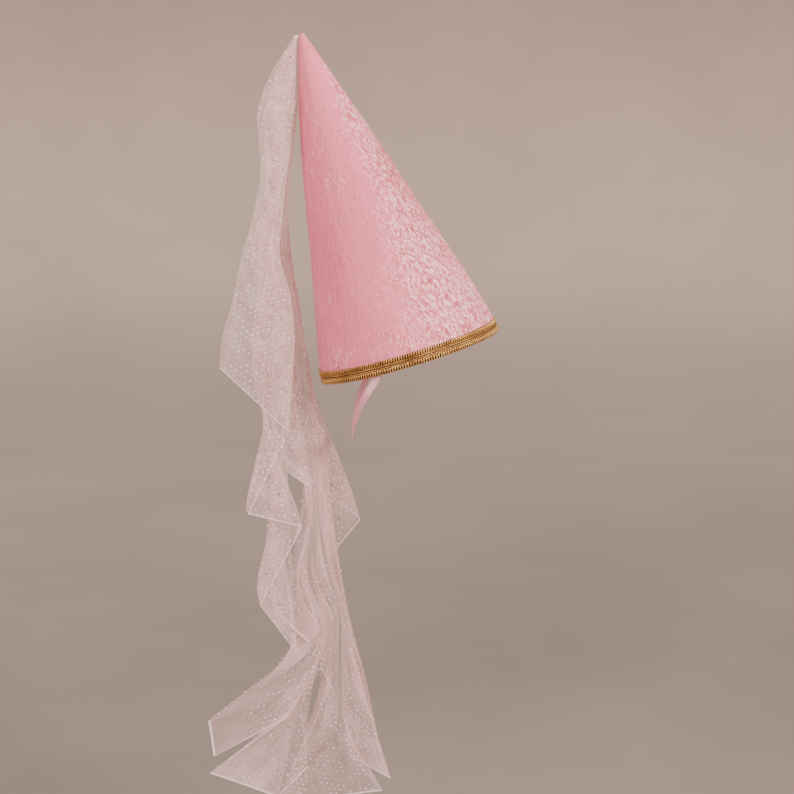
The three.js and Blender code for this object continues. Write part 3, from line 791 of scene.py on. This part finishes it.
# How double the tulle lies between two folds. The panels that show most have their own share.
panel_double = np.random.default_rng(31).permutation(np.linspace(0, 1, last_fold))
panel_double[[0, 1, 9, 10, 12, 13, 19, 22, 23]] = (0.35, 0.1, 0.9, 0.45, 0.75, 0.9, 0.8, 0.95, 0.2)
in_panel = np.minimum(veil_across, last_fold - 0.01).astype(int)
mark_cloth("doubled", "FLOAT", "value", np.tile(panel_double[in_panel], veil_rows))
mark_cloth("cloth_place", "FLOAT_VECTOR", "vector", on_cloth)
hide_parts("veil")
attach(veil, "root")


# The glitter is small round dots glued to the tulle in staggered rows: some bright silver with a
# painted glint that glows, some the pink of the net, and a few dusky, painted as dots in shade.
dot_pitch = 0.0060
dot_row_pitch = dot_pitch * math.sqrt(3) / 2
dot_radius = 0.00092
dot_thick = 0.00012
dot_sides = 7
dot_clear = 0.0017
dot_off = 0.0013
edge_clear = 0.0022
dot_reach = 0.0013
spots_across = 70
spots_down = 330
bare_top = 0.02
bare_edge = 0.004
dots_kept = 0.95
draw = np.random.default_rng(41)
dot_middles, dot_ways = [], []
for i in range(last_fold):
    # The sine undoes the easing between two folds, so that the spots lie evenly across the panel.
    shares = i + (0.5 - np.sin(np.arcsin(1 - 2 * np.linspace(bare_edge, 1 - bare_edge, spots_across)) / 3))
    panel = veil_cloth(shares, np.linspace(bare_top, 1 - bare_edge, spots_down))
    slope = np.cross(np.gradient(panel, axis=1), np.gradient(panel, axis=0))
    slope /= np.maximum(np.linalg.norm(slope, axis=-1, keepdims=True), 1e-9)
    from_edges = np.minimum(*[np.abs(panel[..., 0] - panel[:, edge, 0][:, None]) for edge in (0, -1)])
    inside = from_edges > edge_clear
    spots, slope = panel[inside], slope[inside]
    turn = draw.uniform(-0.4, 0.4)
    grain = np.array([[math.cos(turn), math.sin(turn)], [-math.sin(turn), math.cos(turn)]])
    on_grain = spots[:, [0, 2]] @ grain.T
    lowest_row = math.floor(on_grain[:, 1].min() / dot_row_pitch)
    highest_row = math.ceil(on_grain[:, 1].max() / dot_row_pitch)
    for row in range(lowest_row, highest_row + 1):
        row_up = row * dot_row_pitch
        near = np.flatnonzero(np.abs(on_grain[:, 1] - row_up) < dot_reach)
        if not len(near):
            continue
        columns = np.round(on_grain[near, 0] / dot_pitch - 0.5 * (row % 2))
        wanted = (columns + 0.5 * (row % 2)) * dot_pitch
        off = np.hypot(on_grain[near, 0] - wanted, on_grain[near, 1] - row_up)
        for column in np.unique(columns):
            here = columns == column
            best = np.flatnonzero(here)[off[here].argmin()]
            if off[best] > dot_reach:
                continue
            x, z = np.array([wanted[best], row_up]) @ grain
            dot_middles.append((x, spots[near[best], 1], z))
            dot_ways.append(slope[near[best]])
dot_middles, dot_ways = np.array(dot_middles), np.array(dot_ways)
dot_drops = (crown_tip[2] - dot_middles[:, 2]) / veil_drop
dot_middles[:, 0] = np.minimum(dot_middles[:, 0] - dot_off, behind_hat(dot_middles[:, 2]) - dot_clear)
kept = (dot_drops > bare_top) & (draw.uniform(size=len(dot_drops)) < dots_kept)
dot_middles, dot_ways = dot_middles[kept], dot_ways[kept]
dot_aside = np.cross(dot_ways, (0.3, 0.2, 1.0))
dot_aside /= np.linalg.norm(dot_aside, axis=1, keepdims=True)
dot_up = np.cross(dot_ways, dot_aside)
sizes = dot_radius * draw.uniform(0.75, 1.1, len(dot_middles))[:, None, None]
dot_turns = np.linspace(0, 2 * math.pi, dot_sides, endpoint=False)
round_dot = (np.cos(dot_turns)[None, :, None] * dot_aside[:, None]
             + np.sin(dot_turns)[None, :, None] * dot_up[:, None])
rim = dot_middles[:, None] + sizes * round_dot
poles = dot_middles[:, None] + dot_ways[:, None] * np.array([dot_thick, -dot_thick])[None, :, None]
dot_points = np.concatenate([rim, poles], 1).reshape(-1, 3)
one_dot = [(k, (k + 1) % dot_sides, dot_sides) for k in range(dot_sides)]
one_dot += [((k + 1) % dot_sides, k, dot_sides + 1) for k in range(dot_sides)]
dot_starts = np.arange(len(dot_middles)) * (dot_sides + 2)
dot_faces = (np.array(one_dot)[None] + dot_starts[:, None, None]).reshape(-1, 3)
# Painted glint: the silver dots are near white and glow.
silver_and_glint, silver_and_glint_shader = finish_of(
    "silver_dot_and_glint", Roughness=0.25, Specular_IOR_Level=0.9,
    Emission_Color=(1.0, 0.92, 0.88, 1), Emission_Strength=0.32,
)
rosy, rosy_shader = finish_of("rosy_dot", Roughness=0.3, Specular_IOR_Level=0.7)
# Painted shade: the dusky dots stand for dots in shade.
shaded_dusky, shaded_dusky_shader = finish_of("dusky_dot_painted_shade", Roughness=0.4)
uneven(silver_and_glint, silver_and_glint_shader, 620.0, (0.94, 0.86, 0.82), (1.0, 1.0, 0.98))
uneven(rosy, rosy_shader, 620.0, (0.80, 0.60, 0.56), (0.98, 0.82, 0.78))
uneven(shaded_dusky, shaded_dusky_shader, 620.0, (0.34, 0.21, 0.18), (0.50, 0.33, 0.30))
glitter = mesh_piece("veil_glitter", dot_points, dot_faces, silver_and_glint, rosy, shaded_dusky)
dot_finish = draw.choice(3, size=len(dot_middles), p=(0.55, 0.30, 0.15))
glitter.data.polygons.foreach_set("material_index", np.repeat(dot_finish, 2 * dot_sides))
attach(glitter, "root")


# The binding is a few turns of white cotton thread. They are wound close under the tip round
# the gathered tulle, pulled tight, and hold it to the cone.
binding_turns = 4
binding_start = 0.0030
binding_pitch = 0.0011
binding_thread = 0.00028
binding_clear = 0.0012
binding_slack = 0.0003
binding_back = 0.0002
binding_waver = 0.0003
bindings = []
for k in range(binding_turns):
    drop = binding_start + binding_pitch * k
    height = crown_tip[2] - drop * veil_drop
    front = crown_back(height) - binding_clear
    behind = crown_tip[0] + veil_reach * np.interp(drop, veil_sheath[:, 0], veil_sheath[:, 1])
    middle = (front + behind) / 2
    turn = np.linspace(0, 2 * math.pi, 40, endpoint=False)
    half_deep = last_fold / 2 * room_at(drop) + binding_slack
    half_long = (front - behind) / 2 + binding_slack
    path = np.stack([
        middle - binding_back + half_long * np.cos(turn),
        half_deep * np.sin(turn),
        height + binding_waver * np.sin(turn + k),
    ], -1)
    away = path * (1, 1, 0) - (middle, 0, 0)
    bindings.append(strand(path, away, binding_thread))
white_thread, white_shader = finish_of("white_thread", Roughness=0.6, Sheen_Weight=0.3)
uneven(white_thread, white_shader, 1600.0, (0.84, 0.77, 0.73), (1.0, 0.95, 0.92), 0.4)
binding = mesh_piece("veil_binding", *joined(bindings), white_thread)
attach(binding, "root")
